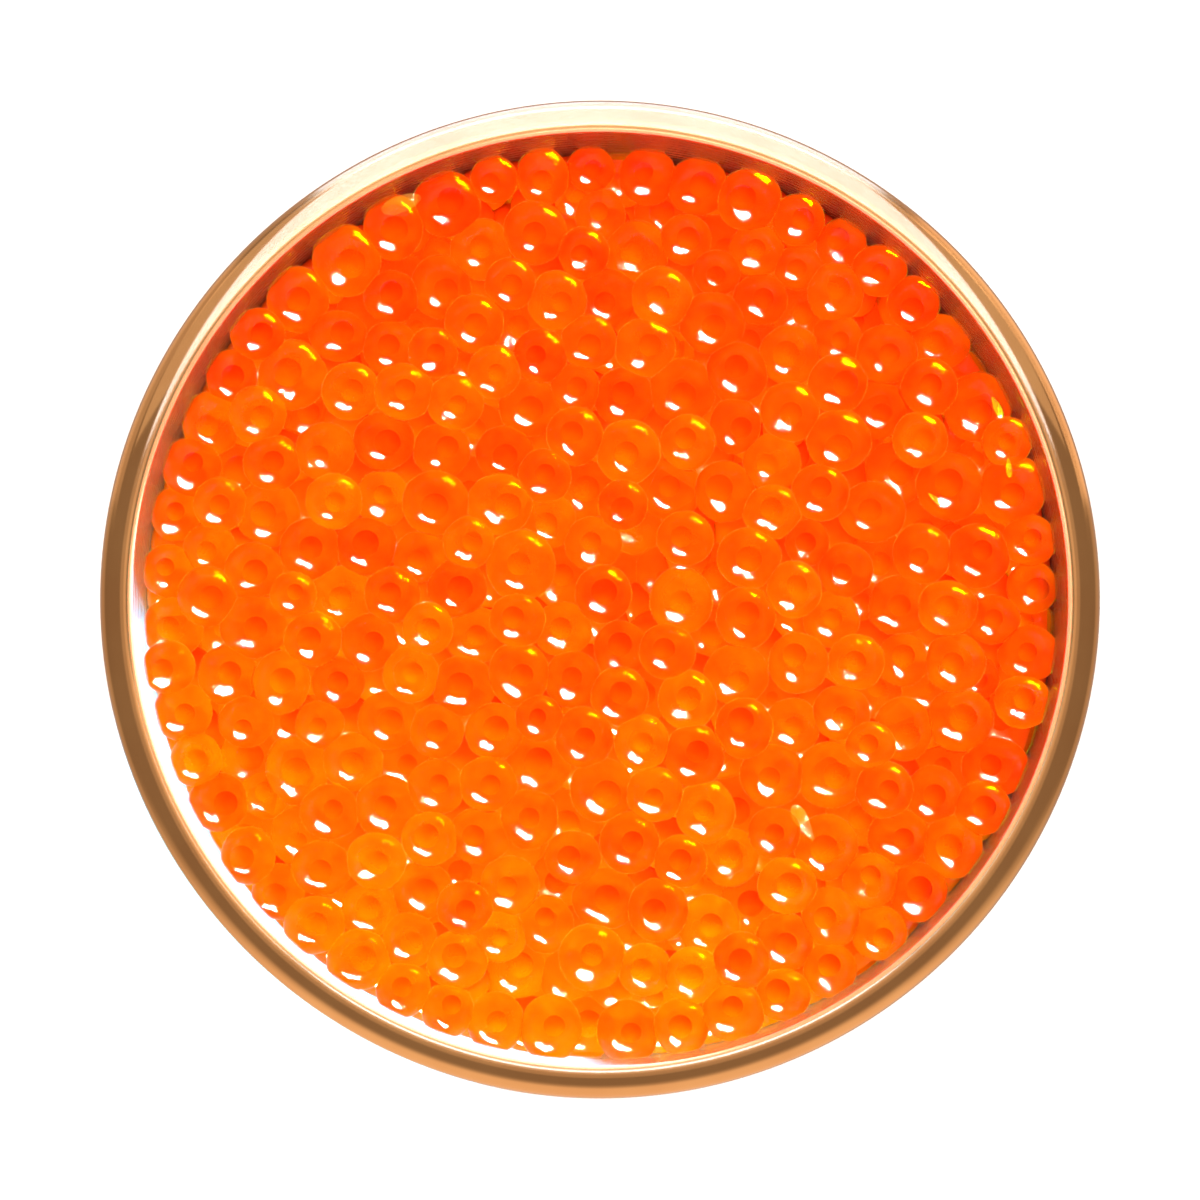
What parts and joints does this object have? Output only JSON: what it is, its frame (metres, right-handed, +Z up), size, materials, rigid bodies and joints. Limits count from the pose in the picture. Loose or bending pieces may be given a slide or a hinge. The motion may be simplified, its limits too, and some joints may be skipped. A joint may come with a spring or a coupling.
{
  "type": "salmon roe in a round tin",
  "caption": "Round gold-coloured tin with a rolled rim, filled near the top with loose salmon roe eggs.",
  "frame": {"origin": "on the tin's axis, at the bottom of its foot", "axes": "+Z up out of the tin's mouth along its axis; +Y is the top of the picture and +X its right"},
  "size_m": [0.098, 0.098, 0.034],
  "materials": {
    "tin": "gold lacquer on polished tinplate, satin rolled rim and glossy inside",
    "roe": "wet, glossy, translucent orange eggs"
  },
  "bodies": {
    "root": {"tin": "tin", "roe": "roe"}
  },
  "joints": []
}
